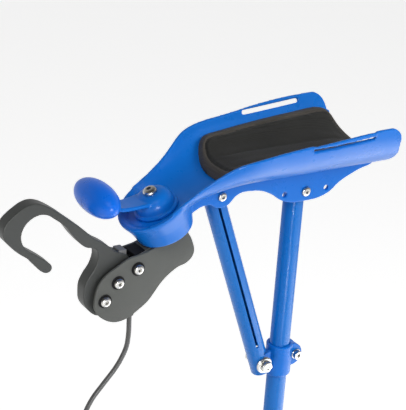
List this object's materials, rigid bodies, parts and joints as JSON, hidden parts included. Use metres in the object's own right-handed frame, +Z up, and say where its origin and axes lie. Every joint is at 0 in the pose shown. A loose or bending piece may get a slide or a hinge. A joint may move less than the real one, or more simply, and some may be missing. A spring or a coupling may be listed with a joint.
{
  "type": "wheeled forearm walker",
  "caption": "Wheeled forearm walker: rear-open tube frame on swivel and braked wheels with two height-adjustable padded forearm troughs, egg grips and hooked brake levers.",
  "frame": {"origin": "bottom centre of the bounding box, on the floor", "axes": "+X in the walking direction, +Y to the user's left, +Z up"},
  "size_m": [0.75, 0.625, 1.0546],
  "materials": {
    "blue_plastic": "moulded, semi-matte bright blue",
    "blue_paint": "bright blue gloss powder coat",
    "grip_blue": "smooth bright blue",
    "pad_foam": "black foam with a knitted cover",
    "dark_grey": "fine-grained dark grey",
    "lever_grey": "satin dark grey",
    "steel": "zinc-plated",
    "cable_black": "black sheath",
    "tyre_grey": "dark grey",
    "rim_grey": "light grey nylon",
    "knob_black": "black nylon"
  },
  "bodies": {
    "base": {"base_tube": "blue_paint", "front_hoop": "blue_paint", "sleeve_r": "blue_paint", "rear_axle_r": "steel", "brake_cable_r": "cable_black", "sleeve_l": "blue_paint", "rear_axle_l": "steel", "brake_cable_l": "cable_black"},
    "post_right": {"post_r": "blue_paint"},
    "trough_right": {"trough_r": "blue_plastic", "pad_r": "pad_foam", "strut_top_bolt_r": "steel", "trough_pivot_bolt_r": "steel", "brake_plate_inner_r": "dark_grey", "brake_plate_outer_r": "dark_grey", "plate_screw_1_r": "steel", "plate_screw_2_r": "steel", "plate_screw_3_r": "steel"},
    "strut_right": {"strut_r": "blue_paint"},
    "collar_right": {"collar_r": "blue_paint", "collar_clamp_bolt_r": "steel", "strut_pivot_bolt_r": "steel"},
    "handle_right": {"handle_arm_r": "blue_plastic", "egg_grip_r": "grip_blue", "handle_screw_r": "steel"},
    "lever_right": {"brake_lever_r": "lever_grey"},
    "shoe_right": {"brake_shoe_r": "knob_black"},
    "knob_right": {"height_clamp_knob_r": "knob_black"},
    "fork_right": {"caster_fork_r": "rim_grey", "caster_axle_r": "steel"},
    "front_wheel_right": {"front_tyre_r": "tyre_grey", "front_rim_r": "rim_grey"},
    "rear_wheel_right": {"rear_tyre_r": "tyre_grey", "rear_rim_r": "rim_grey"},
    "post_left": {"post_l": "blue_paint"},
    "trough_left": {"trough_l": "blue_plastic", "pad_l": "pad_foam", "strut_top_bolt_l": "steel", "trough_pivot_bolt_l": "steel", "brake_plate_inner_l": "dark_grey", "brake_plate_outer_l": "dark_grey", "plate_screw_1_l": "steel", "plate_screw_2_l": "steel", "plate_screw_3_l": "steel"},
    "strut_left": {"strut_l": "blue_paint"},
    "collar_left": {"collar_l": "blue_paint", "collar_clamp_bolt_l": "steel", "strut_pivot_bolt_l": "steel"},
    "handle_left": {"handle_arm_l": "blue_plastic", "egg_grip_l": "grip_blue", "handle_screw_l": "steel"},
    "lever_left": {"brake_lever_l": "lever_grey"},
    "shoe_left": {"brake_shoe_l": "knob_black"},
    "knob_left": {"height_clamp_knob_l": "knob_black"},
    "fork_left": {"caster_fork_l": "rim_grey", "caster_axle_l": "steel"},
    "front_wheel_left": {"front_tyre_l": "tyre_grey", "front_rim_l": "rim_grey"},
    "rear_wheel_left": {"rear_tyre_l": "tyre_grey", "rear_rim_l": "rim_grey"}
  },
  "joints": [
    {"name": "post_height_right", "type": "slide", "parent": "base", "child": "post_right", "axis": [0, 0, 1], "range_m": [-0.1, 0.08], "deforming": ["brake_cable_r"]},
    {"name": "trough_tilt_right", "type": "hinge", "parent": "post_right", "child": "trough_right", "pos_m": [0, -0.235, 0.98], "axis": [0, 1, 0], "range_deg": [-8, 8], "deforming": ["brake_cable_r"]},
    {"name": "strut_hinge_right", "type": "hinge", "parent": "trough_right", "child": "strut_right", "pos_m": [0.1036, -0.235, 0.9905], "axis": [0, 1, 0], "range_deg": [-7.7, 7.7]},
    {"name": "collar_slide_right", "type": "slide", "parent": "post_right", "child": "collar_right", "axis": [0, 0, 1], "range_m": [-0.0142, 0.0142]},
    {"name": "handle_swivel_right", "type": "hinge", "parent": "trough_right", "child": "handle_right", "pos_m": [0.166, -0.235, 0.9814], "axis": [0.4147, 0, 0.91], "range_deg": [-30, 30]},
    {"name": "brake_lever_right", "type": "hinge", "parent": "trough_right", "child": "lever_right", "pos_m": [0.2132, -0.235, 0.9168], "axis": [0, -1, 0], "range_deg": [0, 8], "stiffness_Nm_per_rad": 1.2, "springref_deg": -8.59},
    {"name": "brake_shoe_right", "type": "hinge", "parent": "base", "child": "shoe_right", "pos_m": [-0.205, -0.292, 0.122], "axis": [0, -1, 0], "range_deg": [0, 1.75], "stiffness_Nm_per_rad": 0.6, "springref_deg": -5.73},
    {"name": "clamp_knob_right", "type": "hinge", "parent": "base", "child": "knob_right", "pos_m": [0, -0.269, 0.585], "axis": [0, -1, 0], "range_deg": [-180, 180]},
    {"name": "caster_swivel_right", "type": "hinge", "parent": "base", "child": "fork_right", "pos_m": [0.34, -0.205, 0.185], "axis": [0, 0, 1], "continuous": true},
    {"name": "front_wheel_right", "type": "hinge", "parent": "fork_right", "child": "front_wheel_right", "pos_m": [0.3, -0.205, 0.075], "axis": [0, 1, 0], "continuous": true},
    {"name": "rear_wheel_right", "type": "hinge", "parent": "base", "child": "rear_wheel_right", "pos_m": [-0.3, -0.292, 0.075], "axis": [0, 1, 0], "continuous": true},
    {"name": "post_height_left", "type": "slide", "parent": "base", "child": "post_left", "axis": [0, 0, 1], "range_m": [-0.1, 0.08], "deforming": ["brake_cable_l"]},
    {"name": "trough_tilt_left", "type": "hinge", "parent": "post_left", "child": "trough_left", "pos_m": [0, 0.235, 0.98], "axis": [0, 1, 0], "range_deg": [-8, 8], "deforming": ["brake_cable_l"]},
    {"name": "strut_hinge_left", "type": "hinge", "parent": "trough_left", "child": "strut_left", "pos_m": [0.1036, 0.235, 0.9905], "axis": [0, 1, 0], "range_deg": [-7.7, 7.7]},
    {"name": "collar_slide_left", "type": "slide", "parent": "post_left", "child": "collar_left", "axis": [0, 0, 1], "range_m": [-0.0142, 0.0142]},
    {"name": "handle_swivel_left", "type": "hinge", "parent": "trough_left", "child": "handle_left", "pos_m": [0.166, 0.235, 0.9814], "axis": [0.4147, 0, 0.91], "range_deg": [-30, 30]},
    {"name": "brake_lever_left", "type": "hinge", "parent": "trough_left", "child": "lever_left", "pos_m": [0.2132, 0.235, 0.9168], "axis": [0, -1, 0], "range_deg": [0, 8], "stiffness_Nm_per_rad": 1.2, "springref_deg": -8.59},
    {"name": "brake_shoe_left", "type": "hinge", "parent": "base", "child": "shoe_left", "pos_m": [-0.205, 0.292, 0.122], "axis": [0, -1, 0], "range_deg": [0, 1.75], "stiffness_Nm_per_rad": 0.6, "springref_deg": -5.73},
    {"name": "clamp_knob_left", "type": "hinge", "parent": "base", "child": "knob_left", "pos_m": [0, 0.269, 0.585], "axis": [0, 1, 0], "range_deg": [-180, 180]},
    {"name": "caster_swivel_left", "type": "hinge", "parent": "base", "child": "fork_left", "pos_m": [0.34, 0.205, 0.185], "axis": [0, 0, 1], "continuous": true},
    {"name": "front_wheel_left", "type": "hinge", "parent": "fork_left", "child": "front_wheel_left", "pos_m": [0.3, 0.205, 0.075], "axis": [0, 1, 0], "continuous": true},
    {"name": "rear_wheel_left", "type": "hinge", "parent": "base", "child": "rear_wheel_left", "pos_m": [-0.3, 0.292, 0.075], "axis": [0, 1, 0], "continuous": true}
  ],
  "couplings": [
    {"joint": "strut_hinge_right", "follows": "trough_tilt_right", "ratio": -0.95},
    {"joint": "collar_slide_right", "follows": "trough_tilt_right", "m_per_rad": -0.0998},
    {"joint": "brake_shoe_right", "follows": "brake_lever_right", "ratio": 0.2125},
    {"joint": "strut_hinge_left", "follows": "trough_tilt_left", "ratio": -0.95},
    {"joint": "collar_slide_left", "follows": "trough_tilt_left", "m_per_rad": -0.0998},
    {"joint": "brake_shoe_left", "follows": "brake_lever_left", "ratio": 0.2125}
  ]
}
